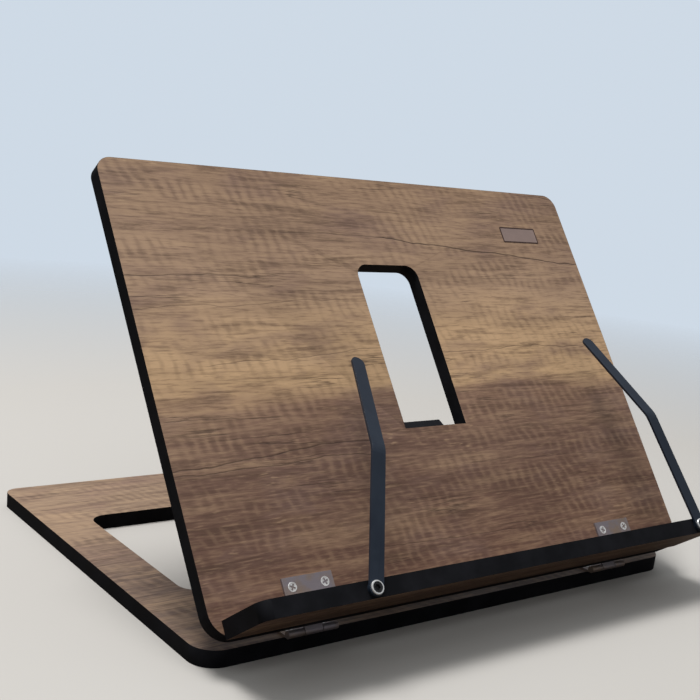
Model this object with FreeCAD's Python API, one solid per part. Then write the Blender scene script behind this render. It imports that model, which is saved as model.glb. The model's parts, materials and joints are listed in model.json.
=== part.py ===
import FreeCAD, Part
import math
import os
from FreeCAD import Matrix, Vector

# A folding book stand: a flat base with a window, a reading board hinged to its front edge,
# a support leg cut out of the board, a ledge for the book and two arms that hold the pages.
# Millimetres, +X to the reader's right, +Y to the back, +Z up.
# The origin is on the table, under the middle of the base's front rail.

# Panels: base and reading board are cut to one size from one sheet
panel_width = 300.0
panel_depth = 224.0
panel_thickness = 8.0
front_corner_radius = 12.0
rear_corner_radius = 8.0

# Window through the base, in which the foot of the leg travels
window_side_rail = 25.0
window_front_rail = 58.0
window_rear_rail = 57.0
window_corner_radius = 9.5

# Reading board: its tilt in use and the opening that the leg is cut from
tilt_in_use = 53.25
opening_width = 40.0
opening_height = 90.0
opening_above_edge = 82.5
opening_corner_radius = 7.0

# Support leg: the gaps that the saw leaves round it
leg_side_gap = 2.8
leg_heel_gap = 0.8
leg_tip_gap = 3.0

# Ledge along the board's lower edge
ledge_end_step = 5.4
ledge_depth = 32.0
ledge_corner_radius = 5.0

# Butt hinges, all rolled from one strip
hinge_length = 26.0
hinge_middle_knuckle = 10.0
hinge_knuckle_gap = 0.3
hinge_barrel_radius = 1.8
hinge_pin_radius = 0.9
hinge_pin_clearance = 0.05
hinge_leaf_thickness = 1.0
hinge_screw_spacing = 17.0
hinge_reach = 10.6
hinge_screw_reach = 6.2
front_hinge_side_distance = 53.0
ledge_hinge_side_distance = 50.3

# Screws of the hinges, driven through the leaves into the wood
screw_head_radius = 2.2
screw_head_height = 1.0
screw_head_stand = 0.15
screw_shank_radius = 1.1
screw_length = 6.5
slot_width = 0.6
slot_depth = 0.5

# Page arms: steel strips with one bend towards the board
arm_width = 7.0
arm_thickness = 1.2
arm_lower_length = 63.2
arm_upper_length = 58.0
arm_bend_angle = 19.6
arm_bend_radius = 12.0
arm_play = 0.05
left_arm_side_distance = 59.4
left_arm_lean_angle = 20.8
right_arm_side_distance = 22.5
right_arm_lean_angle = -6.0

# Pivot screws and washers of the arms
washer_radius = 3.3
washer_thickness = 0.8
pivot_head_radius = 3.1
pivot_head_height = 0.9
pivot_shoulder_radius = 2.0
pivot_shank_radius = 1.5
pivot_shank_length = 16.0
pivot_socket_radius = 1.5
pivot_socket_depth = 1.4

# Planes and lines that follow from the sizes above, with the board folded flat on the base
panel_gap = 2 * hinge_barrel_radius
front_y = -window_front_rail / 2
rear_y = front_y + panel_depth
back_face_z = panel_thickness + panel_gap
board_face_z = back_face_z + panel_thickness
front_axis = Vector(0, front_y - hinge_barrel_radius, panel_thickness + hinge_barrel_radius)
ledge_axis = Vector(0, front_y + panel_thickness + hinge_barrel_radius, board_face_z + hinge_barrel_radius)
leg_axis = Vector(0, front_y + opening_above_edge, back_face_z - hinge_barrel_radius)
opening_top_y = front_y + opening_above_edge + opening_height
leg_reach = opening_height - leg_tip_gap
ledge_front_z = board_face_z + ledge_depth
arm_back_z = ledge_front_z + washer_thickness + arm_play
arm_pivot_y = front_y + panel_thickness / 2
left_arm_x = left_arm_side_distance - panel_width / 2
right_arm_x = panel_width / 2 - right_arm_side_distance

AXIS_X = Vector(1, 0, 0)
AXIS_Y = Vector(0, 1, 0)
AXIS_Z = Vector(0, 0, 1)


def leg_swing_in_use():
    """Angle from the board to the leg that puts the leg's lower corner on the table."""
    span = leg_axis - front_axis
    turn = math.radians(tilt_in_use)
    axis_height = front_axis.z + span.y * math.sin(turn) + span.z * math.cos(turn)
    corner = math.hypot(leg_reach, hinge_barrel_radius)
    below_level = math.asin(axis_height / corner) + math.atan2(hinge_barrel_radius, leg_reach)
    return tilt_in_use + math.degrees(below_level)


def tilted(shape):
    """The shape turned from the folded board's place to its place in use."""
    return shape.rotated(front_axis, AXIS_X, tilt_in_use)


def swung(shape):
    """The shape turned from the folded leg's place to its place in use."""
    return tilted(shape.rotated(leg_axis, AXIS_X, -leg_swing_in_use()))


def placed(shape, point, along, outward):
    """The shape moved to a point, with its +Y along one direction and its +Z along another."""
    side = along.cross(outward)
    frame = Matrix(
        side.x, along.x, outward.x, point.x,
        side.y, along.y, outward.y, point.y,
        side.z, along.z, outward.z, point.z,
        0, 0, 0, 1,
    )
    return shape.transformed(frame)


def rounded_plate(x_low, y_low, x_high, y_high, z_low, height, radii):
    """A plate with its corners rounded: radii run from the low corner anticlockwise."""
    corners = [(x_low, y_low), (x_high, y_low), (x_high, y_high), (x_low, y_high)]
    ways = [(1, 0), (0, 1), (-1, 0), (0, -1)]
    edges = []
    stops = []
    for index, (x, y) in enumerate(corners):
        radius = radii[index]
        before = ways[index - 1]
        after = ways[index]
        start = Vector(x - before[0] * radius, y - before[1] * radius, z_low)
        end = Vector(x + after[0] * radius, y + after[1] * radius, z_low)
        middle = None
        if radius > 0:
            centre = start + Vector(after[0] * radius, after[1] * radius, 0)
            corner = Vector(x, y, z_low)
            middle = centre + (corner - centre).normalize() * radius
        stops.append((start, middle, end))
    for index, (start, middle, end) in enumerate(stops):
        if middle is not None:
            edges.append(Part.Arc(start, middle, end).toShape())
        following = stops[(index + 1) % 4][0]
        edges.append(Part.makeLine(end, following))
    return Part.Face(Part.Wire(edges)).extrude(Vector(0, 0, height))


def turned(points):
    """A solid of revolution about Z from (radius, height) points that start and end on the axis."""
    corners = [Vector(radius, 0, height) for radius, height in points]
    outline = Part.makePolygon(corners + [corners[0]])
    return Part.Face(outline).revolve(Vector(0, 0, 0), AXIS_Z, 360)


def hinge_screw():
    """A slotted wood screw: the leaf's outer face at the origin, shank along -Z."""
    foot = screw_head_stand - screw_head_height
    head = Part.makeCylinder(screw_head_radius, screw_head_height, Vector(0, 0, foot))
    shank = Part.makeCylinder(screw_shank_radius, screw_length + foot, Vector(0, 0, -screw_length))
    slot = Part.makeBox(2 * screw_head_radius, slot_width, slot_depth)
    slot.translate(Vector(-screw_head_radius, -slot_width / 2, screw_head_stand - slot_depth))
    return head.fuse(shank).cut(slot)


def leaf_screw_points():
    """Where a leaf's two screws go, in the leaf's own frame, at its outer face."""
    height = hinge_leaf_thickness - hinge_barrel_radius
    return [Vector(side * hinge_screw_spacing / 2, hinge_screw_reach, height) for side in (-1, 1)]


def hinge_leaf(carries_pin):
    """One hinge leaf: axis along X through the origin, plate along +Y, wood at Z below.

    The leaf that carries the pin has the two outer knuckles, and the other has the middle one.
    """
    half = hinge_length / 2
    half_middle = hinge_middle_knuckle / 2
    wood = -hinge_barrel_radius
    plate = Part.makeBox(hinge_length, hinge_reach, hinge_leaf_thickness, Vector(-half, 0, wood))
    clear = hinge_barrel_radius + hinge_knuckle_gap
    pin = Part.makeCylinder(hinge_pin_radius, hinge_length, Vector(-half, 0, 0), AXIS_X)
    bore = Part.makeCylinder(hinge_pin_radius + hinge_pin_clearance, hinge_length, Vector(-half, 0, 0), AXIS_X)
    if carries_pin:
        knuckles = [(-half, -half_middle), (half_middle, half)]
        notches = [(-half_middle, half_middle)]
    else:
        edge = half_middle - hinge_knuckle_gap
        knuckles = [(-edge, edge)]
        notches = [(-half, -edge), (edge, half)]
    for low, high in notches:
        notch = Part.makeBox(high - low, clear, hinge_leaf_thickness, Vector(low, 0, wood))
        plate = plate.cut(notch)
    for low, high in knuckles:
        plate = plate.fuse(Part.makeCylinder(hinge_barrel_radius, high - low, Vector(low, 0, 0), AXIS_X))
    if carries_pin:
        plate = plate.fuse(pin)
    else:
        plate = plate.cut(bore)
    return plate.removeSplitter()


class Seat:
    """Where one leaf lies: a point of the hinge's axis, and which way the leaf runs and faces."""

    def __init__(self, axis, x, along, outward):
        self.point = Vector(x, axis.y, axis.z)
        self.along = along
        self.outward = outward

    def leaf(self, carries_pin):
        """The leaf that lies here."""
        return placed(hinge_leaf(carries_pin), self.point, self.along, self.outward)

    def screws(self):
        """The leaf's two screws."""
        copies = [hinge_screw().translated(point) for point in leaf_screw_points()]
        return [placed(copy, self.point, self.along, self.outward) for copy in copies]


def seats(axis, along, outward, places):
    """One seat for each x in places."""
    return [Seat(axis, x, along, outward) for x in places]


front_hinge_x = panel_width / 2 - front_hinge_side_distance
ledge_hinge_x = panel_width / 2 - ledge_hinge_side_distance
base_top_seats = seats(front_axis, AXIS_Y, AXIS_Z, [-front_hinge_x, front_hinge_x])
board_foot_seats = seats(front_axis, AXIS_Y, -AXIS_Z, [-front_hinge_x, front_hinge_x])
board_face_seats = seats(ledge_axis, AXIS_Y, AXIS_Z, [-ledge_hinge_x, ledge_hinge_x])
ledge_top_seats = seats(ledge_axis, AXIS_Z, AXIS_Y, [-ledge_hinge_x, ledge_hinge_x])
board_back_seats = seats(leg_axis, -AXIS_Y, -AXIS_Z, [0])
leg_back_seats = seats(leg_axis, AXIS_Y, -AXIS_Z, [0])


def screw_group(seat_list):
    """All the screws of some leaves, as one group of separate solids."""
    group = []
    for seat in seat_list:
        group.extend(seat.screws())
    return Part.makeCompound(group)


def full_panel(z_low):
    """A whole sheet as both large panels are cut, with its underside at a height."""
    half = panel_width / 2
    front = front_corner_radius
    rear = rear_corner_radius
    return rounded_plate(-half, front_y, half, rear_y, z_low, panel_thickness, [front, front, rear, rear])


def base_panel():
    """The base: one panel with a window between its four rails."""
    half = panel_width / 2
    window = rounded_plate(
        window_side_rail - half,
        front_y + window_front_rail,
        half - window_side_rail,
        rear_y - window_rear_rail,
        0,
        panel_thickness,
        [window_corner_radius] * 4,
    )
    return full_panel(0).cut(window)


def reading_board():
    """The board: a panel of the base's size, with the opening that the leg comes from."""
    opening = rounded_plate(
        -opening_width / 2,
        front_y + opening_above_edge,
        opening_width / 2,
        opening_top_y,
        back_face_z,
        panel_thickness,
        [0, 0, opening_corner_radius, opening_corner_radius],
    )
    return full_panel(back_face_z).cut(opening)


def support_leg():
    """The leg: the piece cut out of the board's opening, less the width of the cut."""
    half = opening_width / 2 - leg_side_gap
    radius = opening_corner_radius - leg_side_gap
    return rounded_plate(
        -half,
        leg_axis.y + leg_heel_gap,
        half,
        leg_axis.y + leg_reach,
        back_face_z,
        panel_thickness,
        [0, 0, radius, radius],
    )


def pivot_points():
    """Where the two arms turn, on the front face of the ledge."""
    return [Vector(x, arm_pivot_y, ledge_front_z) for x in (left_arm_x, right_arm_x)]


def page_ledge():
    """The ledge: a strip of the same sheet on edge, with rounded front corners."""
    half = panel_width / 2 - ledge_end_step
    radius = ledge_corner_radius
    blank = rounded_plate(
        -half, 0, half, ledge_depth, 0, panel_thickness, [0, 0, radius, radius]
    )
    origin = Vector(0, front_y + panel_thickness, board_face_z)
    return placed(blank, origin, AXIS_Z, -AXIS_Y)


def arm_washer(point):
    """The washer between an arm and the ledge."""
    ring = Part.makeCylinder(washer_radius, washer_thickness, point, AXIS_Z)
    return ring.cut(Part.makeCylinder(pivot_shoulder_radius, washer_thickness, point, AXIS_Z))


def arm_screw(point):
    """An arm's pivot screw: flat head with a hexagon socket, shoulder and wood screw shank."""
    shoulder = washer_thickness + arm_thickness + 2 * arm_play
    top = shoulder + pivot_head_height
    body = turned([
        (0, -pivot_shank_length),
        (pivot_shank_radius, -pivot_shank_length),
        (pivot_shank_radius, 0),
        (pivot_shoulder_radius, 0),
        (pivot_shoulder_radius, shoulder),
        (pivot_head_radius, shoulder),
        (pivot_head_radius, top),
        (0, top),
    ])
    ring = []
    for step in range(7):
        angle = math.radians(60 * step)
        ring.append(Vector(pivot_socket_radius * math.cos(angle), pivot_socket_radius * math.sin(angle), top))
    socket = Part.Face(Part.makePolygon(ring)).extrude(Vector(0, 0, -pivot_socket_depth))
    return body.cut(socket).translated(point)


def tongue(length):
    """A flat piece of arm strip: along +Y from the origin, with a round end about a far point."""
    half = arm_width / 2
    edges = [
        Part.makeLine(Vector(-half, 0, 0), Vector(half, 0, 0)),
        Part.makeLine(Vector(half, 0, 0), Vector(half, length, 0)),
        Part.Arc(Vector(half, length, 0), Vector(0, length + half, 0), Vector(-half, length, 0)).toShape(),
        Part.makeLine(Vector(-half, length, 0), Vector(-half, 0, 0)),
    ]
    return Part.Face(Part.Wire(edges)).extrude(Vector(0, 0, arm_thickness))


def page_arm(x, lean):
    """One arm, turned to its lean: straight up from the pivot, then bent towards the board."""
    bend = math.radians(arm_bend_angle)
    setback = arm_bend_radius * math.tan(bend / 2)
    start = Vector(0, arm_lower_length - setback, 0)
    upper = Vector(0, math.cos(bend), -math.sin(bend))
    upper_front = Vector(0, math.sin(bend), math.cos(bend))
    knee = Vector(0, arm_lower_length, 0)
    lower_half = placed(tongue(start.y), start, -AXIS_Y, AXIS_Z)
    upper_half = placed(
        tongue(arm_upper_length - setback - arm_width / 2), knee + upper * setback, upper, upper_front
    )
    section = Part.makePlane(arm_width, arm_thickness, start - AXIS_X * (arm_width / 2), -AXIS_Y, AXIS_X)
    curve = section.revolve(start - AXIS_Z * arm_bend_radius, AXIS_X, -arm_bend_angle)
    strip = curve.fuse([lower_half, upper_half]).removeSplitter()
    bore = Part.makeCylinder(pivot_shoulder_radius + arm_play, arm_thickness)
    strip = strip.cut(bore)
    strip.rotate(Vector(0, 0, 0), AXIS_Z, -lean)
    return strip.translated(Vector(x, arm_pivot_y, arm_back_z))


def all_nodes():
    """Every piece by name, in its place in use."""
    nodes = {}
    nodes["base_panel"] = base_panel()
    nodes["front_hinge_base_screws"] = screw_group(base_top_seats)
    nodes["reading_board"] = tilted(reading_board())
    nodes["front_hinge_board_screws"] = tilted(screw_group(board_foot_seats))
    nodes["page_ledge"] = tilted(page_ledge())
    nodes["ledge_hinge_board_screws"] = tilted(screw_group(board_face_seats))
    nodes["ledge_hinge_ledge_screws"] = tilted(screw_group(ledge_top_seats))
    for index, side in enumerate(("left", "right")):
        nodes[side + "_front_hinge_base_leaf"] = base_top_seats[index].leaf(True)
        nodes[side + "_front_hinge_board_leaf"] = tilted(board_foot_seats[index].leaf(False))
        nodes[side + "_ledge_hinge_board_leaf"] = tilted(board_face_seats[index].leaf(True))
        nodes[side + "_ledge_hinge_ledge_leaf"] = tilted(ledge_top_seats[index].leaf(False))
        point = pivot_points()[index]
        nodes[side + "_arm_washer"] = tilted(arm_washer(point))
        nodes[side + "_arm_screw"] = tilted(arm_screw(point))
    nodes["left_page_arm"] = tilted(page_arm(left_arm_x, left_arm_lean_angle))
    nodes["right_page_arm"] = tilted(page_arm(right_arm_x, right_arm_lean_angle))
    nodes["leg_hinge_board_leaf"] = tilted(board_back_seats[0].leaf(True))
    nodes["leg_hinge_board_screws"] = tilted(screw_group(board_back_seats))
    nodes["support_leg"] = swung(support_leg())
    nodes["leg_hinge_leg_leaf"] = swung(leg_back_seats[0].leaf(False))
    nodes["leg_hinge_leg_screws"] = swung(screw_group(leg_back_seats))
    return nodes


os.makedirs("parts", exist_ok=True)
for name, shape in all_nodes().items():
    shape.exportStep("parts/" + name + ".step")

pivot = front_axis
print("board pivot", [round(v, 3) for v in pivot], "tilt", tilt_in_use)
line = Part.Vertex(leg_axis)
print("leg pivot", [round(v, 3) for v in tilted(line).Point], "swing", round(leg_swing_in_use(), 4))
for side, point in zip(("left", "right"), pivot_points()):
    print(side, "arm pivot", [round(v, 3) for v in tilted(Part.Vertex(point)).Point])
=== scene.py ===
import json
import logging
import math
from dataclasses import astuple, dataclass
from enum import Enum, IntEnum
from typing import Sequence

import bmesh
import bpy
from mathutils import Matrix, Vector


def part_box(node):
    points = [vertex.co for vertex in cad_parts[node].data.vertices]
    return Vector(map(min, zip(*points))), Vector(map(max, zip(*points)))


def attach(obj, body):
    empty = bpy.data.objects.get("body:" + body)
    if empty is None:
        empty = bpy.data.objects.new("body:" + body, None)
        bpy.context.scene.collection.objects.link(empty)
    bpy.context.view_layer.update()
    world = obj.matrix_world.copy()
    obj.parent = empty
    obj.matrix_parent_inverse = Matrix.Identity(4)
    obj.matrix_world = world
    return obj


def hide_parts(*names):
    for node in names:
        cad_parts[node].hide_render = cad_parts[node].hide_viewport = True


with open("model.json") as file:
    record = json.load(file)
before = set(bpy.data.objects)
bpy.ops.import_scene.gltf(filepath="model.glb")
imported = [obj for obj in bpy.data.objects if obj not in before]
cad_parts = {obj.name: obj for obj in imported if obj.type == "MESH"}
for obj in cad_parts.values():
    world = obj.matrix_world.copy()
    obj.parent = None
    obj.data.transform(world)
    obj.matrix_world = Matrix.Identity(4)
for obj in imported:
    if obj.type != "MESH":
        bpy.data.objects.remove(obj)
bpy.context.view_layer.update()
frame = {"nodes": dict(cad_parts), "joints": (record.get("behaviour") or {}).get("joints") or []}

Colour = tuple[float, float, float]
Socket = bpy.types.NodeSocket
Loop = list[Vector]

log = logging.getLogger("book_stand")

MM = 0.001
IMAGE_SIDE = 700

# Bodies of the frame
BASE = "base"
BOARD = "reading_board"
LEDGE = "ledge"
LEG = "support_leg"

# Directions of the row frame
RIGHT = Vector((1, 0, 0))
BACK = Vector((0, 1, 0))
UP = Vector((0, 0, 1))

# How CAD nodes are read: the distance within which vertices are one, the distance within which they
# lie at one end of a screw, and the least cosine between a sheet's normal and its face's polygons
SAME_POINT = 0.002 * MM
SAME_END = 0.05 * MM
FACING = 0.9

# How sharp edges are rounded
SOFT_SEGMENTS = 2
SOFT_ANGLE = math.radians(40)
FROM_NEIGHBOURS = -1

# Numbers of the Mix node's sockets for colours, whose names its other sockets share
MIX_INPUTS = (0, 6, 7)
MIX_RESULT = 2

# The value about which a noise pattern varies, and what stands in for a divisor of nothing
PATTERN_MIDDLE = 0.5
NEARLY_NOTHING = 1e-6


class Side(Enum):
    """The reader's left or right."""

    LEFT = "left"
    RIGHT = "right"


class Axis(Enum):
    """A coordinate of a face, by its socket's name."""

    ACROSS = "X"
    UPWARD = "Y"


class Shade(IntEnum):
    """Number of the finish on a piece that has two."""

    FIRST = 0
    SECOND = 1


class Recess(Enum):
    """What a screwdriver fits in a screw's head."""

    CROSS = "cross"
    HEXAGON = "hexagon"

    def radius(self, angle: float, size: float) -> float:
        """How far the recess reaches from its middle at an angle.

        Args:
            angle: The direction, in radians.
            size: The recess's largest reach.

        Returns:
            The reach in that direction.
        """
        if self is Recess.HEXAGON:
            half_side = math.pi / 6
            turn = (angle + half_side) % (2 * half_side) - half_side
            return size * math.cos(half_side) / math.cos(turn)
        slimness = math.tan(math.pi / 12)
        along = max(abs(math.cos(angle)), abs(math.sin(angle)))
        beside = max(min(abs(math.cos(angle)), abs(math.sin(angle))), NEARLY_NOTHING)
        return min(size / along, size * slimness / beside)


@dataclass(frozen=True)
class Plane:
    """A piece's own directions: across it, up its face and out of its face."""

    origin: Vector
    across: Vector
    upward: Vector
    outward: Vector

    def at(self, across: float, upward: float, outward: float) -> Vector:
        """A point of the plane's space, in the row frame.

        Args:
            across: Metres along the width.
            upward: Metres up the face.
            outward: Metres in front of the face.

        Returns:
            The point.
        """
        return self.origin + self.across * across + self.upward * upward + self.outward * outward

    def matrix(self) -> Matrix:
        """The transform from the plane's own directions to the row frame."""
        turn = Matrix((self.across, self.upward, self.outward)).transposed().to_4x4()
        return Matrix.Translation(self.origin) @ turn


def joint_named(name: str) -> dict:
    """The record's joint of that name."""
    return next(joint for joint in frame["joints"] if joint["name"] == name)


def board_plane() -> Plane:
    """Finds the reading board's front face.

    Returns:
        Its plane, with the origin in the middle of the lower edge.
    """
    normal = Vector(joint_named("left_arm_swing")["axis"]).normalized()
    upward = normal.cross(RIGHT)
    corners = [vertex.co for vertex in frame["nodes"]["reading_board"].data.vertices]
    low = min(corner.dot(upward) for corner in corners)
    front = max(corner.dot(normal) for corner in corners)
    return Plane(upward * low + normal * front, RIGHT, upward, normal)


def leg_plane() -> Plane:
    """Finds the support leg's broad face.

    Returns:
        Its plane, with the origin in the middle.
    """
    leg = frame["nodes"]["support_leg"]
    largest = max(leg.data.polygons, key=lambda polygon: polygon.area)
    normal = largest.normal.normalized()
    return Plane(largest.center.copy(), RIGHT, normal.cross(RIGHT), normal)


BOARD_PLANE = board_plane()


@dataclass(frozen=True)
class Pattern:
    """A noise pattern: its repeats per metre, octaves, their strength and its distortion.

    Where it begins follows from a piece's seed on one coordinate and an offset on the other.
    """

    scale: tuple[float, float, float]
    detail: float
    rough: float
    warp: float = 0
    offset: float = 0
    seeded: Axis = Axis.ACROSS

    def start(self, seed: float) -> tuple[float, float, float]:
        """Where in the noise a piece with that seed begins."""
        return (seed, self.offset, 0) if self.seeded is Axis.ACROSS else (self.offset, seed, 0)


@dataclass(frozen=True)
class Fade:
    """A range of values and the range that it turns into."""

    low: float
    high: float
    to_low: float = 0
    to_high: float = 1

    def raised(self, amount: float) -> "Fade":
        """The same fade with its result raised by an amount."""
        return Fade(self.low, self.high, self.to_low + amount, self.to_high + amount)

    def enter(self, node: bpy.types.Node) -> None:
        """Gives the two ranges to a Map Range node."""
        for name, value in zip(("From Min", "From Max", "To Min", "To Max"), astuple(self)):
            node.inputs[name].default_value = value


class Nodes:
    """Builds a material's node tree in a few words."""

    def __init__(self, name: str) -> None:
        """Makes an empty material.

        Args:
            name: The material's name.
        """
        self.material = bpy.data.materials.new(name)
        self.material.use_nodes = True
        self.tree = self.material.node_tree
        self.tree.nodes.clear()
        self.output = self.new("OutputMaterial")
        self.shader = self.new("BsdfPrincipled")
        self.link(self.shader.outputs[0], self.output.inputs["Surface"])

    def link(self, source: Socket, target: Socket) -> None:
        """Joins an output to an input."""
        self.tree.links.new(source, target)

    def feed(self, value: Socket | float | Colour, target: Socket) -> None:
        """Joins an output to an input, or sets the input to a constant.

        Args:
            value: The output, number or colour.
            target: The input.
        """
        if isinstance(value, bpy.types.NodeSocket):
            self.link(value, target)
        elif isinstance(value, (int, float)):
            target.default_value = value
        else:
            target.default_value = (*value, 1)

    def new(self, kind: str, **values: object) -> bpy.types.Node:
        """Adds a node and sets its properties.

        Args:
            kind: The node's type, without the word ShaderNode.
            values: Properties of the node.

        Returns:
            The node.
        """
        node = self.tree.nodes.new("ShaderNode" + kind)
        for name, value in values.items():
            setattr(node, name, value)
        return node

    def stretch(
        self,
        vector: Socket,
        scale: Sequence[float] = (1, 1, 1),
        shift: Sequence[float] = (0, 0, 0),
        turn: Sequence[float] = (0, 0, 0),
    ) -> Socket:
        """Coordinates scaled, then turned, then shifted.

        Args:
            vector: The coordinates.
            scale: Factor along each direction.
            shift: What is added at the end.
            turn: Angles about X, Y and Z, in radians.

        Returns:
            The new coordinates.
        """
        node = self.new("Mapping", vector_type="POINT")
        node.inputs["Scale"].default_value = scale
        node.inputs["Rotation"].default_value = turn
        node.inputs["Location"].default_value = shift
        self.link(vector, node.inputs["Vector"])
        return node.outputs["Vector"]

    def place(self, plane: Plane | None = None) -> Socket:
        """Coordinates of the piece at rest, in metres.

        Args:
            plane: Whose own directions the coordinates follow, or None for the row frame's.

        Returns:
            The coordinates.
        """
        own = self.new("TexCoord").outputs["Object"]
        if plane is None:
            return own
        turn = plane.matrix().inverted().to_euler("XYZ")
        return self.stretch(self.stretch(own, shift=-plane.origin), turn=turn)

    def noise(self, place: Socket, pattern: Pattern, seed: float = 0) -> Socket:
        """A noise pattern over a piece.

        Args:
            place: The piece's coordinates.
            pattern: The pattern.
            seed: The piece's seed.

        Returns:
            The pattern's value, from 0 to 1.
        """
        node = self.new("TexNoise")
        node.inputs["Scale"].default_value = 1
        node.inputs["Detail"].default_value = pattern.detail
        node.inputs["Roughness"].default_value = pattern.rough
        node.inputs["Distortion"].default_value = pattern.warp
        self.link(self.stretch(place, pattern.scale, pattern.start(seed)), node.inputs["Vector"])
        return node.outputs["Fac"]

    def span(self, value: Socket, fade: Fade) -> Socket:
        """The value spread from one range to another and held inside it.

        Args:
            value: The value.
            fade: The two ranges.

        Returns:
            The new value.
        """
        node = self.new("MapRange", clamp=True)
        self.link(value, node.inputs["Value"])
        fade.enter(node)
        return node.outputs["Result"]

    def maths(self, how: str, first: Socket | float, second: Socket | float = 0.0) -> Socket:
        """One sum of two values.

        Args:
            how: The operation's name.
            first: The first value.
            second: The second value.

        Returns:
            The result.
        """
        node = self.new("Math", operation=how)
        self.feed(first, node.inputs[0])
        self.feed(second, node.inputs[1])
        return node.outputs[0]

    def split(self, vector: Socket, axis: Axis) -> Socket:
        """One coordinate of a vector.

        Args:
            vector: The vector.
            axis: Which coordinate.

        Returns:
            The coordinate.
        """
        node = self.new("SeparateXYZ")
        self.link(vector, node.inputs[0])
        return node.outputs[axis.value]

    def ramp(self, value: Socket, stops: Sequence[tuple[float, Colour]]) -> Socket:
        """A colour for each value, blended between stops.

        Args:
            value: The value, from 0 to 1.
            stops: Values with their colours, in rising order.

        Returns:
            The colour.
        """
        node = self.new("ValToRGB")
        elements = node.color_ramp.elements
        elements[0].position, elements[0].color = stops[0][0], (*stops[0][1], 1)
        elements[1].position, elements[1].color = stops[-1][0], (*stops[-1][1], 1)
        for position, colour in stops[1:-1]:
            elements.new(position).color = (*colour, 1)
        self.link(value, node.inputs["Fac"])
        return node.outputs["Color"]

    def blend(self, share: Socket | float, below: Socket | Colour, above: Socket | Colour) -> Socket:
        """Two colours laid over each other.

        Args:
            share: How much of the upper colour shows.
            below: The lower colour.
            above: The upper colour.

        Returns:
            The colour.
        """
        node = self.new("Mix", data_type="RGBA")
        for number, value in zip(MIX_INPUTS, (share, below, above)):
            self.feed(value, node.inputs[number])
        return node.outputs[MIX_RESULT]

    def bump(self, height: Socket, strength: float, depth: float) -> None:
        """Raises the surface by a pattern.

        Args:
            height: The pattern.
            strength: Share of the effect, from 0 to 1.
            depth: Height of the pattern in metres.
        """
        node = self.new("Bump")
        node.inputs["Strength"].default_value = strength
        node.inputs["Distance"].default_value = depth
        self.link(height, node.inputs["Height"])
        self.link(node.outputs["Normal"], self.shader.inputs["Normal"])

    def paint(self, colour: Socket | Colour, rough: Socket | float, metal: float, gloss: float) -> None:
        """Sets the surface's colour and gloss.

        Args:
            colour: The base colour.
            rough: The roughness.
            metal: How metallic it is, from 0 to 1.
            gloss: Strength of the reflection, 0.5 for common varnish.
        """
        self.feed(colour, self.shader.inputs["Base Color"])
        self.feed(rough, self.shader.inputs["Roughness"])
        self.shader.inputs["Metallic"].default_value = metal
        self.shader.inputs["Specular IOR Level"].default_value = gloss


@dataclass(frozen=True)
class Crack:
    """One dark line along the grain, from a point of the face to another.

    Places and widths are in millimetres. The strength is the line's share at its core, which is a
    share of the width.
    """

    start: tuple[float, float]
    end: tuple[float, float]
    width: float = 0.45
    strength: float = 0.8
    fade: float = 9.0
    core: float = 0.1

    def draw(self, n: Nodes, across: Socket, upward: Socket) -> Socket:
        """The crack's mask.

        Args:
            n: The material's nodes.
            across: The place along the width.
            upward: The place up the face, with the grain's wander in it.

        Returns:
            The mask, 0 away from the crack.
        """
        left, right = self.start[0] * MM, self.end[0] * MM
        level = n.span(across, Fade(left, right, self.start[1] * MM, self.end[1] * MM))
        away = n.maths("ABSOLUTE", n.maths("SUBTRACT", upward, level))
        line = n.span(away, Fade(self.core * self.width * MM, self.width * MM, self.strength, 0))
        fade = self.fade * MM
        begins, ends = n.span(across, Fade(left - fade, left)), n.span(across, Fade(right + fade, right))
        return n.maths("MULTIPLY", line, n.maths("MULTIPLY", begins, ends))


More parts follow.
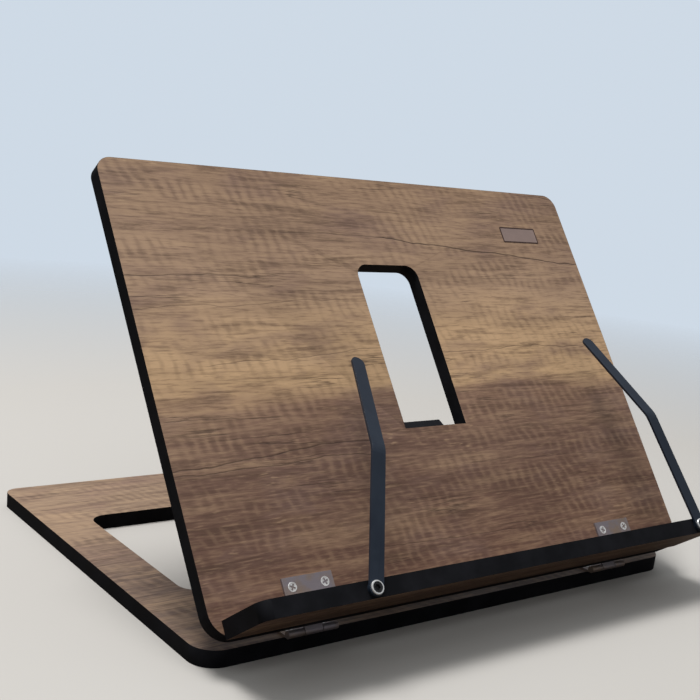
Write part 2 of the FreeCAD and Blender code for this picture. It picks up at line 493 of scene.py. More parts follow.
@dataclass(frozen=True)
class Laminate:
    """Printed rustic oak: bands of colour, fibres, ribs across the grain and thin cracks. The bands of
    the base and the ledge also hold painted shade.

    The bands fill a height up the face, in metres. The seed gives each sheet its own stretch of
    every pattern, and a fade turns a pattern's value into the share of a tone.
    """

    name: str
    plane: Plane
    bands: tuple[tuple[float, Colour], ...]
    height: float
    seed: float
    cracks: tuple[Crack, ...] = ()

    # Tones, and how far each place goes towards them in its own deeper and paler tone
    dark: Colour = (0.075, 0.038, 0.022)
    light: Colour = (0.56, 0.37, 0.215)
    mauve: Colour = (0.200, 0.118, 0.094)
    line: Colour = (0.030, 0.015, 0.009)
    deep_share: float = 0.62
    pale_share: float = 0.34

    # Bands: the grain's wander, their ragged borders, and patches and clouds in them
    sway: Pattern = Pattern((17, 16, 0), 4, 0.6, offset=1.7)
    sway_reach: Fade = Fade(0.2, 0.8, -3 * MM, 3 * MM)
    ragged: Pattern = Pattern((9, 48, 0), 5, 0.6)
    ragged_reach: Fade = Fade(0.2, 0.8, -0.05, 0.05)
    patch: Pattern = Pattern((10, 70, 0), 5, 0.62, 0.2, 3, Axis.UPWARD)
    dark_patch: Fade = Fade(0.5, 0.74, 0, 0.45)
    light_patch: Fade = Fade(0.5, 0.28, 0, 0.3)
    cloud: Pattern = Pattern((16, 34, 0), 4, 0.6, 0.4, 5)
    mauve_cloud: Fade = Fade(0.5, 0.66, 0, 0.62)

    # Grain: streaks, fibres, and pale flecks painted in places as glints
    streak: Pattern = Pattern((17, 230, 0), 7, 0.68, 0.7, 3)
    deep_streak: Fade = Fade(0.51, 0.66)
    pale_streak: Fade = Fade(0.49, 0.32, 0, 0.9)
    fibre: Pattern = Pattern((90, 1000, 0), 3, 0.6, 0.2, 0, Axis.UPWARD)
    deep_fibre: Fade = Fade(0.52, 0.7, 0, 0.75)
    pale_fibre: Fade = Fade(0.48, 0.3, 0, 0.75)
    fleck: Pattern = Pattern((110, 560, 0), 2, 0.5, 0, 4, Axis.UPWARD)
    fleck_edge: Fade = Fade(0.62, 0.72)
    glint_area: Pattern = Pattern((12, 18, 0), 2, 0.5, 0, 7, Axis.UPWARD)
    glint_share: Fade = Fade(0.45, 0.65, 0.05, 0.4)

    # Ribs: radians of their wave per metre across and up the face, its drift, and where they show
    rib_across: float = 1000
    rib_lean: float = 260
    rib_wander: float = 13
    rib_drift: Pattern = Pattern((22, 38, 0), 3, 0.5, 0, 7)
    rib_area: Pattern = Pattern((20, 70, 0), 4, 0.65, 0, 2, Axis.UPWARD)
    rib_share: Fade = Fade(0.44, 0.64)
    dark_rib: Fade = Fade(0.1, 1, 0, 0.42)
    light_rib: Fade = Fade(-0.1, -1, 0, 0.5)

    # Short cracks by chance
    hair: Pattern = Pattern((5, 92, 0), 5, 0.55, 0.12, 11)
    hair_line: Fade = Fade(0.0, 0.012, 1, 0)
    hair_area: Pattern = Pattern((17, 40, 0), 1, 0.5, 0, 5, Axis.UPWARD)
    hair_share: Fade = Fade(0.52, 0.64, 0, 0.6)

    # Surface
    fibre_rise: float = 0.5
    crack_fall: float = 1.5
    relief_strength: float = 0.4
    relief_depth: float = 0.2 * MM
    rough: Fade = Fade(0.3, 0.7, 0.5, 0.66)
    gloss: float = 0.35

    def build(self) -> bpy.types.Material:
        """Makes the material.

        Returns:
            The material.
        """
        n = Nodes(self.name)
        place = n.place(self.plane)
        across, rise = n.split(place, Axis.ACROSS), n.split(place, Axis.UPWARD)
        sway = n.noise(place, self.sway, self.seed)
        upward = n.maths("ADD", rise, n.span(sway, self.sway_reach))
        colour = self.banded(n, place, upward)
        deep = n.blend(self.deep_share, colour, self.dark)
        pale = n.blend(self.pale_share, colour, self.light)
        colour, streak, fibre = self.grained(n, place, colour, deep, pale)
        colour = self.ribbed(n, place, colour, deep, pale)
        marks = self.cracked(n, place, across, upward)
        rises = n.maths("MULTIPLY", fibre, self.fibre_rise)
        falls = n.maths("MULTIPLY", marks, self.crack_fall)
        n.bump(n.maths("SUBTRACT", rises, falls), self.relief_strength, self.relief_depth)
        n.paint(n.blend(marks, colour, self.line), n.span(streak, self.rough), 0, self.gloss)
        return n.material

    def banded(self, n: Nodes, place: Socket, upward: Socket) -> Socket:
        """The wide bands of colour up the face, with ragged borders.

        Args:
            n: The material's nodes.
            place: The face's coordinates.
            upward: The place up the face, with the grain's wander in it.

        Returns:
            The colour.
        """
        ragged = n.noise(place, self.ragged, self.seed)
        level = n.maths("ADD", n.span(upward, Fade(0, self.height)), n.span(ragged, self.ragged_reach))
        colour = n.ramp(level, self.bands)
        patch = n.noise(place, self.patch, self.seed)
        colour = n.blend(n.span(patch, self.dark_patch), colour, self.dark)
        cloud = n.noise(place, self.cloud, self.seed)
        colour = n.blend(n.span(cloud, self.mauve_cloud), colour, self.mauve)
        return n.blend(n.span(patch, self.light_patch), colour, self.light)

    def grained(
        self, n: Nodes, place: Socket, colour: Socket, deep: Socket, pale: Socket
    ) -> tuple[Socket, Socket, Socket]:
        """Streaks and fibres along the grain.

        Args:
            n: The material's nodes.
            place: The face's coordinates.
            colour: The colour so far.
            deep: The darker tone of each place.
            pale: The lighter tone of each place.

        Returns:
            The new colour, the streaks' pattern and the fibres' pattern.
        """
        streak = n.noise(place, self.streak, self.seed)
        colour = n.blend(n.span(streak, self.deep_streak), colour, deep)
        colour = n.blend(n.span(streak, self.pale_streak), colour, pale)
        fibre = n.noise(place, self.fibre, self.seed)
        colour = n.blend(n.span(fibre, self.deep_fibre), colour, deep)
        colour = n.blend(n.span(fibre, self.pale_fibre), colour, pale)
        # Pale flecks painted as glints, shown only inside the glint areas
        fleck = n.span(n.noise(place, self.fleck, self.seed), self.fleck_edge)
        where = n.span(n.noise(place, self.glint_area, self.seed), self.glint_share)
        return n.blend(n.maths("MULTIPLY", fleck, where), colour, self.light), streak, fibre

    def ribbed(self, n: Nodes, place: Socket, colour: Socket, deep: Socket, pale: Socket) -> Socket:
        """Short soft ribs that the saw and the grain's curl leave across the face.

        Args:
            n: The material's nodes.
            place: The face's coordinates.
            colour: The colour so far.
            deep: The darker tone of each place.
            pale: The lighter tone of each place.

        Returns:
            The new colour.
        """
        drift = n.maths("MULTIPLY", n.noise(place, self.rib_drift, self.seed), self.rib_wander)
        across = n.maths("MULTIPLY", n.split(place, Axis.ACROSS), self.rib_across)
        lean = n.maths("MULTIPLY", n.split(place, Axis.UPWARD), self.rib_lean)
        wave = n.maths("SINE", n.maths("ADD", n.maths("ADD", across, lean), drift))
        share = n.span(n.noise(place, self.rib_area, self.seed), self.rib_share)
        dark = n.maths("MULTIPLY", n.span(wave, self.dark_rib), share)
        light = n.maths("MULTIPLY", n.span(wave, self.light_rib), share)
        return n.blend(light, n.blend(dark, colour, deep), pale)

    def cracked(self, n: Nodes, place: Socket, across: Socket, upward: Socket) -> Socket:
        """All the cracks in one mask: many short ones by chance, and the long ones.

        Args:
            n: The material's nodes.
            place: The face's coordinates.
            across: The place along the width.
            upward: The place up the face, with the grain's wander in it.

        Returns:
            The mask.
        """
        hair = n.noise(place, self.hair, self.seed)
        away = n.maths("ABSOLUTE", n.maths("SUBTRACT", hair, PATTERN_MIDDLE))
        where = n.noise(place, self.hair_area, self.seed)
        marks = n.maths("MULTIPLY", n.span(away, self.hair_line), n.span(where, self.hair_share))
        for crack in self.cracks:
            marks = n.maths("MAXIMUM", marks, crack.draw(n, across, upward))
        return marks


@dataclass(frozen=True)
class CutEdge:
    """The sheet's cut edge: dyed black, a little fibrous."""

    name: str = "black_cut_edge"
    colour: Colour = (0.0035, 0.0036, 0.0050)
    lighter: Colour = (0.011, 0.011, 0.014)
    coarse: Pattern = Pattern((60, 60, 60), 3, 0.6)
    fine: Pattern = Pattern((1400, 1400, 1400), 2, 0.6)
    light_share: Fade = Fade(0.4, 0.75)
    rough: Fade = Fade(0.3, 0.7, 0.62, 0.74)
    gloss: float = 0.12
    relief_strength: float = 0.25
    relief_depth: float = 0.08 * MM

    def build(self) -> bpy.types.Material:
        """Makes the material.

        Returns:
            The material.
        """
        n = Nodes(self.name)
        place = n.place()
        coarse = n.noise(place, self.coarse)
        colour = n.blend(n.span(coarse, self.light_share), self.colour, self.lighter)
        n.paint(colour, n.span(coarse, self.rough), 0, self.gloss)
        n.bump(n.noise(place, self.fine), self.relief_strength, self.relief_depth)
        return n.material


@dataclass(frozen=True)
class Paint:
    """Satin paint or dark oxide, with faint wear in its gloss."""

    name: str
    colour: Colour
    lighter: Colour
    rough: float
    gloss: float
    cloud: Pattern = Pattern((70, 70, 70), 4, 0.6)
    peel: Pattern = Pattern((900, 900, 900), 2, 0.5)
    light_share: Fade = Fade(0.35, 0.75)
    wear: Fade = Fade(0.3, 0.7, -0.06, 0.08)
    relief_strength: float = 0.12
    relief_depth: float = 0.05 * MM

    def build(self) -> bpy.types.Material:
        """Makes the material.

        Returns:
            The material.
        """
        n = Nodes(self.name)
        place = n.place()
        cloud = n.noise(place, self.cloud)
        colour = n.blend(n.span(cloud, self.light_share), self.colour, self.lighter)
        n.paint(colour, n.span(cloud, self.wear.raised(self.rough)), 0, self.gloss)
        n.bump(n.noise(place, self.peel), self.relief_strength, self.relief_depth)
        return n.material


@dataclass(frozen=True)
class Plated:
    """Plated steel, brushed along X, with patches of a second tone: duller metal, and on the hinge
    leaves painted reflections.
    """

    name: str
    colour: Colour
    dull_and_reflection: Colour
    rough: float
    metal: float
    patches: Pattern = Pattern((160, 160, 160), 3, 0.6)
    brush: Pattern = Pattern((120, 3000, 3000), 3, 0.6)
    dull_and_reflection_share: Fade = Fade(0.44, 0.62, 0, 0.9)
    brushed: Fade = Fade(0.2, 0.8, 0, 0.22)
    gloss: float = 0.5
    relief_strength: float = 0.2
    relief_depth: float = 0.03 * MM

    def build(self) -> bpy.types.Material:
        """Makes the material.

        Returns:
            The material.
        """
        n = Nodes(self.name)
        place = n.place()
        brush = n.noise(place, self.brush)
        # Patches of the second tone: duller metal on the screws, a painted reflection on the hinge
        # leaves
        dull_and_reflection = n.span(n.noise(place, self.patches), self.dull_and_reflection_share)
        colour = n.blend(dull_and_reflection, self.colour, self.dull_and_reflection)
        n.paint(colour, n.span(brush, self.brushed.raised(self.rough)), self.metal, self.gloss)
        n.bump(brush, self.relief_strength, self.relief_depth)
        return n.material


BOARD_BANDS: tuple[tuple[float, Colour], ...] = (
    (0.0, (0.150, 0.076, 0.052)),
    (0.20, (0.160, 0.083, 0.057)),
    (0.33, (0.180, 0.098, 0.069)),
    (0.44, (0.265, 0.152, 0.100)),
    (0.48, (0.590, 0.378, 0.205)),
    (0.60, (0.560, 0.360, 0.202)),
    (0.70, (0.420, 0.270, 0.172)),
    (0.84, (0.330, 0.207, 0.134)),
    (1.0, (0.315, 0.196, 0.120)),
)

# Tone of the base up its depth: darker towards the front, where the leaning board shades it. This
# gradient is painted shade.
BASE_SHADE_BANDS: tuple[tuple[float, Colour], ...] = (
    (0.0, (0.105, 0.072, 0.060)),
    (0.35, (0.165, 0.110, 0.086)),
    (0.65, (0.280, 0.185, 0.122)),
    (1.0, (0.315, 0.212, 0.139)),
)

# The ledge's laminate, darker than the board's print on both faces: painted shade of the ledge's unlit
# underside.
LEDGE_SHADE_BANDS: tuple[tuple[float, Colour], ...] = (
    (0.0, (0.105, 0.060, 0.044)),
    (1.0, (0.145, 0.085, 0.060)),
)

LEG_BANDS = BOARD_BANDS[2:5]

BOARD_CRACKS: tuple[Crack, ...] = (
    Crack((-57, 190), (10, 188), 0.35, 0.45),
    Crack((5, 188), (147, 178), 0.5, 0.85),
    Crack((-150, 163.5), (-82, 164), 0.45, 0.55),
    Crack((-147, 147), (-38, 152), 0.35, 0.35),
    Crack((-118, 119), (-27, 125), 0.4, 0.35),
    Crack((23, 123), (130, 123), 0.4, 0.5),
    Crack((-150, 72), (-45, 79), 0.5, 0.6),
    Crack((-146, 70), (-48, 72), 0.4, 0.55),
    Crack((-52, 26), (60, 25), 0.4, 0.4),
    Crack((68, 166), (90, 167), 0.35, 0.45),
    Crack((20, 62), (146, 58), 0.35, 0.3),
)


def soften(piece: bpy.types.Object, width: float, band: int = FROM_NEIGHBOURS) -> None:
    """Rounds a CAD node's sharp edges a little, so that they catch the light.

    Args:
        piece: The node.
        width: Width of the rounding in metres.
        band: Number of the finish that the rounding shows.
    """
    weld = piece.modifiers.new("weld", "WELD")
    weld.merge_threshold = SAME_POINT
    bevel = piece.modifiers.new("soften", "BEVEL")
    bevel.width = width
    bevel.segments = SOFT_SEGMENTS
    bevel.limit_method = "ANGLE"
    bevel.angle_limit = SOFT_ANGLE
    bevel.material = band
    bevel.harden_normals = True


def dress(node: str, finish: bpy.types.Material) -> bpy.types.Object:
    """Gives a whole CAD node one finish.

    Args:
        node: The node's name.
        finish: The material.

    Returns:
        The node.
    """
    piece = frame["nodes"][node]
    piece.data.materials.clear()
    piece.data.materials.append(finish)
    log.info("%s: %s", node, finish.name)
    return piece


def add_piece(
    name: str, form: bmesh.types.BMesh, finishes: Sequence[bpy.types.Material]
) -> bpy.types.Object:
    """Turns a finished form into a piece of the scene.

    Args:
        name: The piece's name.
        form: Its faces, in the row frame.
        finishes: Its materials, in the order of the faces' numbers.

    Returns:
        The piece.
    """
    bmesh.ops.recalc_face_normals(form, faces=form.faces)
    mesh = bpy.data.meshes.new(name)
    form.to_mesh(mesh)
    form.free()
    for finish in finishes:
        mesh.materials.append(finish)
    piece = bpy.data.objects.new(name, mesh)
    bpy.context.scene.collection.objects.link(piece)
    log.info("%s: %d faces", name, len(mesh.polygons))
    return piece


def loft(form: bmesh.types.BMesh, loops: Sequence[Loop], finishes: Sequence[int]) -> None:
    """Joins closed loops of one length by faces and closes both ends.

    Args:
        form: Where the faces go.
        loops: The loops in order.
        finishes: Number of the finish between each loop and the next.
    """
    rings = [[form.verts.new(point) for point in loop] for loop in loops]
    for lower, upper, finish in zip(rings, rings[1:], finishes):
        for index in range(len(lower)):
            corners = (lower[index - 1], lower[index], upper[index], upper[index - 1])
            form.faces.new(corners).material_index = finish
    for ring, finish in ((rings[0], finishes[0]), (rings[-1], finishes[-1])):
        form.faces.new(ring).material_index = finish


def middle(points: Sequence[Vector]) -> Vector:
    """The middle of the box round some points.

    Args:
        points: The points.

    Returns:
        The middle.
    """
    low = Vector([min(point[axis] for point in points) for axis in range(3)])
    high = Vector([max(point[axis] for point in points) for axis in range(3)])
    return (low + high) / 2


def reach(points: Sequence[Vector]) -> float:
    """How far the farthest point is from the middle."""
    centre = middle(points)
    return max((point - centre).length for point in points)


def screw_seat(points: Sequence[Vector], outward: Vector) -> Plane:
    """The seat of one screw, from its vertices.

    Args:
        points: The screw's vertices.
        outward: The direction along which the screw lies, with either end first.

    Returns:
        Its plane, with the axis towards the wider end and the origin there.
    """
    heights = [point.dot(outward) for point in points]
    ends = []
    for end in (min(heights), max(heights)):
        ends.append([point for point, height in zip(points, heights) if abs(height - end) < SAME_END])
    wide = 0 if reach(ends[0]) > reach(ends[1]) else 1
    axis = outward if wide else -outward
    return Plane(middle(ends[wide]), RIGHT, axis.cross(RIGHT).normalized(), axis)


def screw_seats(node: str, outward: Vector) -> list[Plane]:
    """Where each screw of a CAD group sits.

    Args:
        node: The group's name.
        outward: The direction along which its screws lie.

    Returns:
        One plane for each screw, from left to right.
    """
    form = bmesh.new()
    form.from_mesh(frame["nodes"][node].data)
    bmesh.ops.remove_doubles(form, verts=form.verts, dist=SAME_POINT)
    unseen = set(form.verts)
    seats = []
    while unseen:
        island, border = [], [unseen.pop()]
        while border:
            vertex = border.pop()
            island.append(vertex.co.copy())
            fresh = {link.other_vert(vertex) for link in vertex.link_edges} & unseen
            unseen -= fresh
            border.extend(fresh)
        seats.append(screw_seat(island, outward))
    form.free()
    return sorted(seats, key=lambda seat: seat.origin.x)


@dataclass(frozen=True)
class ScrewForm:
    """A turned screw with a recess in its head.

    The profile runs from the tip to the head's face as rows of radius and height, in millimetres
    from the head's top. The last few rows can show the recess's finish. The recess goes down from
    there to a floor and on to a point, as shares of its mouth and of its depth.
    """

    profile: tuple[tuple[float, float], ...]
    recess: Recess
    recess_size: float
    recess_depth: float
    dark_rows: int = 0
    points: int = 48
    floor_share: float = 0.92
    point_share: float = 0.3
    point_depth: float = 1.15

    def ring(self, seat: Plane, turn: float, radii: Sequence[float], height: float) -> Loop:
        """One loop of points round the axis.

        Args:
            seat: The screw's seat.
            turn: How far the loop is turned, in radians.
            radii: Each point's distance from the axis, in millimetres.
            height: Millimetres above the head's top.

        Returns:
            The loop.
        """
        loop = []
        for index, radius in enumerate(radii):
            angle = math.tau * index / self.points + turn
            across, upward = math.cos(angle) * radius * MM, math.sin(angle) * radius * MM
            loop.append(seat.at(across, upward, height * MM))
        return loop

    def add(self, form: bmesh.types.BMesh, seat: Plane, turn: float) -> None:
        """Adds one screw.

        Args:
            form: Where its faces go.
            seat: Its seat, with the axis outward and the origin at the head's top.
            turn: How far the recess is turned, in radians.
        """
        angles = [math.tau * index / self.points for index in range(self.points)]
        mouth = [self.recess.radius(angle, self.recess_size) for angle in angles]
        top = self.profile[-1][1]
        rows = [([radius] * self.points, height) for radius, height in self.profile]
        rows.append((mouth, top))
        for share, depth in ((self.floor_share, 1), (self.point_share, self.point_depth)):
            rows.append(([radius * share for radius in mouth], top - self.recess_depth * depth))
        bright = len(self.profile) - 1 - self.dark_rows
        shades = [Shade.FIRST] * bright + [Shade.SECOND] * self.dark_rows
        shades += [shades[-1], Shade.SECOND, Shade.SECOND]
        loft(form, [self.ring(seat, turn, radii, height) for radii, height in rows], shades)


@dataclass
class Panels:
    """The four pieces cut from the laminated sheet.

    The edges are rounded by some metres, and the bands of ledge and leg fill a span of their own.
    """

    edge: CutEdge = CutEdge()
    rounding: float = 0.3 * MM
    ledge_span: float = 60 * MM
    leg_span: float = 90 * MM

    def dress_panel(
        self, node: str, outward: Vector, face: bpy.types.Material, edge: bpy.types.Material
    ) -> None:
        """Gives a sheet's two faces one finish and its cut edges another.

        Args:
            node: The node's name.
            outward: Normal of the sheet's faces.
            face: Finish of the two faces.
            edge: Finish of the cut edges.
        """
        piece = dress(node, face)
        piece.data.materials.append(edge)
        for polygon in piece.data.polygons:
            flat = abs(polygon.normal.dot(outward)) > FACING
            polygon.material_index = Shade.FIRST if flat else Shade.SECOND
        soften(piece, self.rounding, Shade.SECOND)

    def build(self) -> None:
        """Dresses the base, the board, the ledge and the leg."""
        black = self.edge.build()
        low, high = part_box("base_panel")
        depth = high.y - low.y
        flat = Plane(Vector((0, low.y, high.z)), RIGHT, BACK, UP)
        board = BOARD_PLANE
        top = Plane(board.origin, board.across, -board.outward, board.upward)
        leg = leg_plane()
        for node, finish in (
            ("base_panel", Laminate("base_laminate", flat, BASE_SHADE_BANDS, depth, 4.0)),
            ("reading_board", Laminate("board_laminate", board, BOARD_BANDS, depth, 1.0, BOARD_CRACKS)),
            ("page_ledge", Laminate("ledge_laminate", top, LEDGE_SHADE_BANDS, self.ledge_span, 6.0)),
            ("support_leg", Laminate("leg_laminate", leg, LEG_BANDS, self.leg_span, 8.0)),
        ):
            self.dress_panel(node, finish.plane.outward, finish.build(), black)


@dataclass
class Hinges:
    """The five butt hinges and their cross-recessed screws.

    Each screw's recess is turned by some degrees more than the last one's, and each group's by some
    more than the last group's.
    """

    # The leaf's lavender-grey tint and its tan patches are painted reflections, over the nickel.
    leaf: Plated = Plated(
        "nickel_leaf_painted_reflection", (0.30, 0.265, 0.285), (0.33, 0.245, 0.185), 0.38, 0.7,
        Pattern((75, 75, 75), 3, 0.6),
    )
    screw: Plated = Plated("zinc_screw", (0.86, 0.86, 0.85), (0.62, 0.61, 0.59), 0.2, 0.5)
    dark: Paint = Paint("recess_shadow", (0.010, 0.009, 0.008), (0.020, 0.018, 0.016), 0.6, 0.1)
    form: ScrewForm = ScrewForm(
        (
            (0.25, -6.4), (1.1, -5.1), (1.1, -1.4), (2.15, -0.5), (2.2, -0.06), (2.1, -0.01),
            (1.85, 0.0), (1.66, -0.07),
        ),
        Recess.CROSS, 1.5, 0.6,
    )
    rounding: float = 0.1 * MM
    turn_in_group: float = 47
    turn_of_group: float = 31
    groups: tuple[tuple[str, str], ...] = (
        ("front_hinge_base_screws", BASE),
        ("front_hinge_board_screws", BOARD),
        ("ledge_hinge_board_screws", BOARD),
        ("ledge_hinge_ledge_screws", LEDGE),
        ("leg_hinge_board_screws", BOARD),
        ("leg_hinge_leg_screws", LEG),
    )

    def build(self) -> None:
        """Dresses every leaf and puts a full screw in every place."""
        leaf = self.leaf.build()
        for name in sorted(frame["nodes"]):
            if name.endswith("_leaf"):
                soften(dress(name, leaf), self.rounding)
        finishes = (self.screw.build(), self.dark.build())
        outward = {
            BASE: UP,
            BOARD: BOARD_PLANE.outward,
            LEDGE: BOARD_PLANE.upward,
            LEG: leg_plane().outward,
        }
        for number, (node, body) in enumerate(self.groups):
            form = bmesh.new()
            for index, seat in enumerate(screw_seats(node, outward[body])):
                turn = self.turn_in_group * index + self.turn_of_group * number
                self.form.add(form, seat, math.radians(turn))
            piece = add_piece(node.replace("_screws", "_cross_screws"), form, finishes)
            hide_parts(node)
            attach(piece, body)


@dataclass
class Arms:
    """The two page arms, their washers and pivot screws.

    Both pivot screws' recesses are turned by one angle, in radians.
    """

    paint: Paint = Paint("slate_paint", (0.0105, 0.0165, 0.0290), (0.0175, 0.0260, 0.0410), 0.4, 0.3)
    bright: Plated = Plated("bright_screw", (0.90, 0.90, 0.89), (0.70, 0.69, 0.67), 0.18, 0.6)
    # Near black on the pivot screws' dished face and hex socket: painted shade in the hollow, with a
    # dark oxide finish.
    dark: Paint = Paint("socket_shade_and_oxide", (0.008, 0.0085, 0.010), (0.016, 0.016, 0.018), 0.45, 0.3)
    form: ScrewForm = ScrewForm(
        (
            (0.3, -18.5), (1.45, -17.2), (1.45, -3.0), (1.95, -2.9), (1.95, -0.9), (3.05, -0.88),
            (3.1, -0.35), (2.95, -0.08), (2.7, 0.0), (2.42, -0.03), (2.25, -0.22), (2.1, -0.30),
        ),
        Recess.HEXAGON, 1.45, 1.3, dark_rows=2,
    )
    rounding: float = 0.15 * MM
    turn: float = 0.3

    def build(self) -> None:
        """Dresses both arms and makes their pivot screws."""
        paint = self.paint.build()
        finishes = (self.bright.build(), self.dark.build())
        for side in Side:
            soften(dress(f"{side.value}_page_arm", paint), self.rounding)
            dress(f"{side.value}_arm_washer", paint)
            node = f"{side.value}_arm_screw"
            form = bmesh.new()
            self.form.add(form, screw_seats(node, BOARD_PLANE.outward)[0], self.turn)
            piece = add_piece(f"{side.value}_pivot_screw", form, finishes)
            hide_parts(node)
            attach(piece, LEDGE)


@dataclass
class Label:
    """The bare name plate at the board's upper right, with its dark frame line.

    Sizes are in millimetres. The plate's rim is bevelled, and its face lies a small step below the
    frame line.
    """

    centre: tuple[float, float] = (108.6, 194.9)
    width: float = 28.6
    height: float = 10.0
    corner: float = 0.9
    least_corner: float = 0.25
    rise: float = 0.14
    rim_inset: float = 0.05
    rim_drop: float = 0.04
    line: float = 0.8
    step_inset: float = 0.05
    step_depth: float = 0.05
    face_inset: float = 0.5
    points: int = 8
    plate: Paint = Paint("label_plate", (0.235, 0.170, 0.150), (0.285, 0.205, 0.180), 0.5, 0.3)
    border: Paint = Paint("label_border", (0.045, 0.026, 0.022), (0.065, 0.038, 0.030), 0.6, 0.2)

    def outline(self, inset: float, level: float) -> Loop:
        """A rounded rectangle on the board.

        Args:
            inset: Millimetres inside the plate's outline.
            level: Millimetres in front of the board.

        Returns:
            The loop.
        """
        radius = max(self.corner - inset, self.least_corner)
        wide = self.width / 2 - inset - radius
        tall = self.height / 2 - inset - radius
        loop = []
        for quarter, (right, up) in enumerate(((1, 1), (-1, 1), (-1, -1), (1, -1))):
            for step in range(self.points):
                angle = math.pi / 2 * (quarter + step / (self.points - 1))
                across = self.centre[0] + right * wide + radius * math.cos(angle)
                upward = self.centre[1] + up * tall + radius * math.sin(angle)
                loop.append(BOARD_PLANE.at(across * MM, upward * MM, level * MM))
        return loop

    def build(self) -> None:
        """Makes the plate."""
        sunk = self.rise - self.step_depth
        steps = (
            (0, 0.0),
            (0, self.rise - self.rim_drop),
            (self.rim_inset, self.rise),
            (self.line, self.rise),
            (self.line + self.step_inset, sunk),
            (self.line + self.face_inset, sunk),
        )
        shades = (Shade.FIRST, Shade.FIRST, Shade.FIRST, Shade.SECOND, Shade.SECOND)
        form = bmesh.new()
        loft(form, [self.outline(inset, level) for inset, level in steps], shades)
        piece = add_piece("label_plate", form, (self.border.build(), self.plate.build()))
        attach(piece, BOARD)


@dataclass(frozen=True)
class Lamp:
    """One soft square lamp: its place and side in metres, its power in watts and its aim."""

    name: str
    place: tuple[float, float, float]
    power: float
    side: float
    aim: tuple[float, float, float] = (0, 0.02, 0.08)

    def build(self) -> None:
        """Hangs the lamp and points it at the stand."""
        data = bpy.data.lights.new(self.name, "AREA")
        data.energy = self.power
        data.size = self.side
        piece = bpy.data.objects.new(self.name, data)
        bpy.context.scene.collection.objects.link(piece)
        piece.location = self.place
        way = Vector(self.aim) - Vector(self.place)
        piece.rotation_euler = way.to_track_quat("-Z", "Y").to_euler()


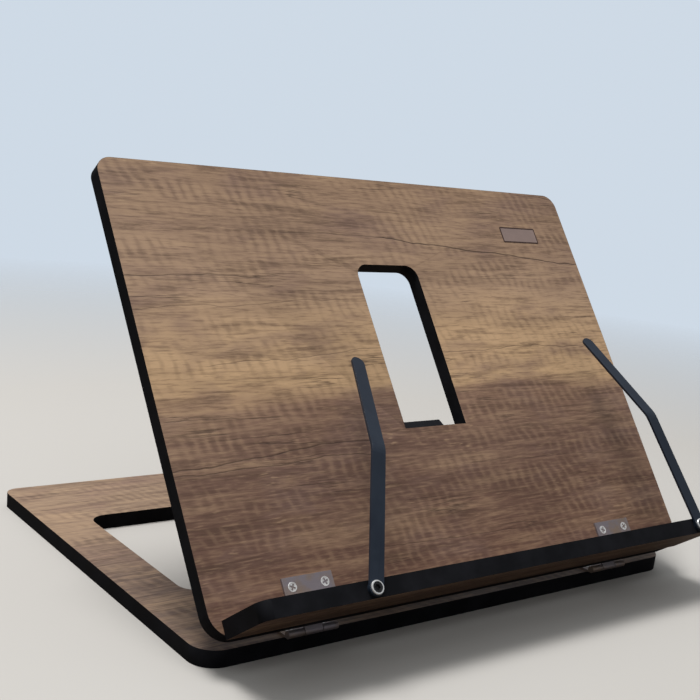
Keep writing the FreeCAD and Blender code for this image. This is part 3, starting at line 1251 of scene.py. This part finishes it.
@dataclass
class Studio:
    """Pale floor and surround, soft lamps and the camera.

    The floor is as bright as floor_seen to the camera and as floor_bounce to the object, and fades
    out between two distances from the middle. The surround lights the object by how high a
    direction points. The camera's place is in millimetres and its angles are in degrees.
    """

    floor_seen: Colour = (0.54, 0.515, 0.48)
    floor_bounce: Colour = (0.15, 0.13, 0.11)
    floor_rough: float = 0.75
    floor_gloss: float = 0.1
    floor_fade: Fade = Fade(0.45, 1.3)
    floor_half_side: float = 1.5
    floor_drop: float = 0.02 * MM
    backdrop: Colour = (0.62, 0.70, 0.79)
    sky: Colour = (0.92, 0.96, 1.0)
    sky_strength: Fade = Fade(-0.2, 0.9, 0.03, 0.56)
    lamps: tuple[Lamp, ...] = (
        Lamp("key", (-0.3, 0.35, 1.6), 24, 0.6),
        Lamp("front", (-0.9, -1.5, 1.6), 3.5, 1.0),
    )
    camera_place: tuple[float, float, float] = (-365.01, -379.0, 210.31)
    yaw: float = 38.46
    pitch: float = -13.89
    roll: float = 6.19
    focal_pixels: float = 1101.76
    principal_row: float = 425.0
    sensor: float = 36
    clip: tuple[float, float] = (0.01, 50)

    def floor(self) -> None:
        """A pale floor round the object that fades into the surround."""
        n = Nodes("pale_floor")
        seen = n.new("LightPath").outputs["Is Camera Ray"]
        tone = n.blend(seen, self.floor_bounce, self.floor_seen)
        n.paint(tone, self.floor_rough, 0, self.floor_gloss)
        spread = n.new("VectorMath", operation="LENGTH")
        n.link(n.place(), spread.inputs[0])
        fade = n.new("MixShader")
        n.feed(n.span(spread.outputs["Value"], self.floor_fade), fade.inputs[0])
        n.link(n.shader.outputs[0], fade.inputs[1])
        n.link(n.new("BsdfTransparent").outputs[0], fade.inputs[2])
        n.link(fade.outputs[0], n.output.inputs["Surface"])
        form = bmesh.new()
        bmesh.ops.create_grid(form, x_segments=1, y_segments=1, size=self.floor_half_side)
        piece = add_piece("floor", form, (n.material,))
        piece.location.z = -self.floor_drop

    def world(self) -> None:
        """A pale surround whose light comes mostly from above."""
        world = bpy.data.worlds.new("studio")
        bpy.context.scene.world = world
        world.use_nodes = True
        tree = world.node_tree
        tree.nodes.clear()
        way = tree.nodes.new("ShaderNodeTexCoord")
        parts = tree.nodes.new("ShaderNodeSeparateXYZ")
        level = tree.nodes.new("ShaderNodeMapRange")
        path = tree.nodes.new("ShaderNodeLightPath")
        light, seen = (tree.nodes.new("ShaderNodeBackground") for _ in range(2))
        mix = tree.nodes.new("ShaderNodeMixShader")
        output = tree.nodes.new("ShaderNodeOutputWorld")
        self.sky_strength.enter(level)
        light.inputs["Color"].default_value = (*self.sky, 1)
        seen.inputs["Color"].default_value = (*self.backdrop, 1)
        for source, target in (
            (way.outputs["Generated"], parts.inputs[0]),
            (parts.outputs["Z"], level.inputs["Value"]),
            (level.outputs["Result"], light.inputs["Strength"]),
            (path.outputs["Is Camera Ray"], mix.inputs[0]),
            (light.outputs[0], mix.inputs[1]),
            (seen.outputs[0], mix.inputs[2]),
            (mix.outputs[0], output.inputs["Surface"]),
        ):
            tree.links.new(source, target)

    def camera(self) -> None:
        """The camera at the photograph's viewing angle."""
        yaw, pitch, roll = (math.radians(angle) for angle in (self.yaw, self.pitch, self.roll))
        flat = math.cos(pitch)
        forward = Vector((math.sin(yaw) * flat, math.cos(yaw) * flat, math.sin(pitch)))
        level = Vector((math.cos(yaw), -math.sin(yaw), 0))
        upright = level.cross(forward)
        right = level * math.cos(roll) + upright * math.sin(roll)
        up = upright * math.cos(roll) - level * math.sin(roll)
        data = bpy.data.cameras.new("camera")
        data.sensor_width = self.sensor
        data.lens = self.focal_pixels / IMAGE_SIDE * data.sensor_width
        data.shift_y = (self.principal_row - (IMAGE_SIDE - 1) / 2) / IMAGE_SIDE
        data.clip_start, data.clip_end = self.clip
        piece = bpy.data.objects.new("camera", data)
        bpy.context.scene.collection.objects.link(piece)
        turn = Matrix((right, up, -forward)).transposed().to_4x4()
        piece.matrix_world = Matrix.Translation(Vector(self.camera_place) * MM) @ turn
        bpy.context.scene.camera = piece

    def build(self) -> None:
        """Sets the whole studio up."""
        bpy.context.scene.view_settings.view_transform = "Standard"
        self.floor()
        self.world()
        for lamp in self.lamps:
            lamp.build()
        self.camera()


def main() -> None:
    """Builds the stand's looks and the studio."""
    logging.basicConfig(level=logging.INFO, format="%(message)s")
    for part in (Panels(), Hinges(), Arms(), Label(), Studio()):
        part.build()


if __name__ == "__main__":
    main()
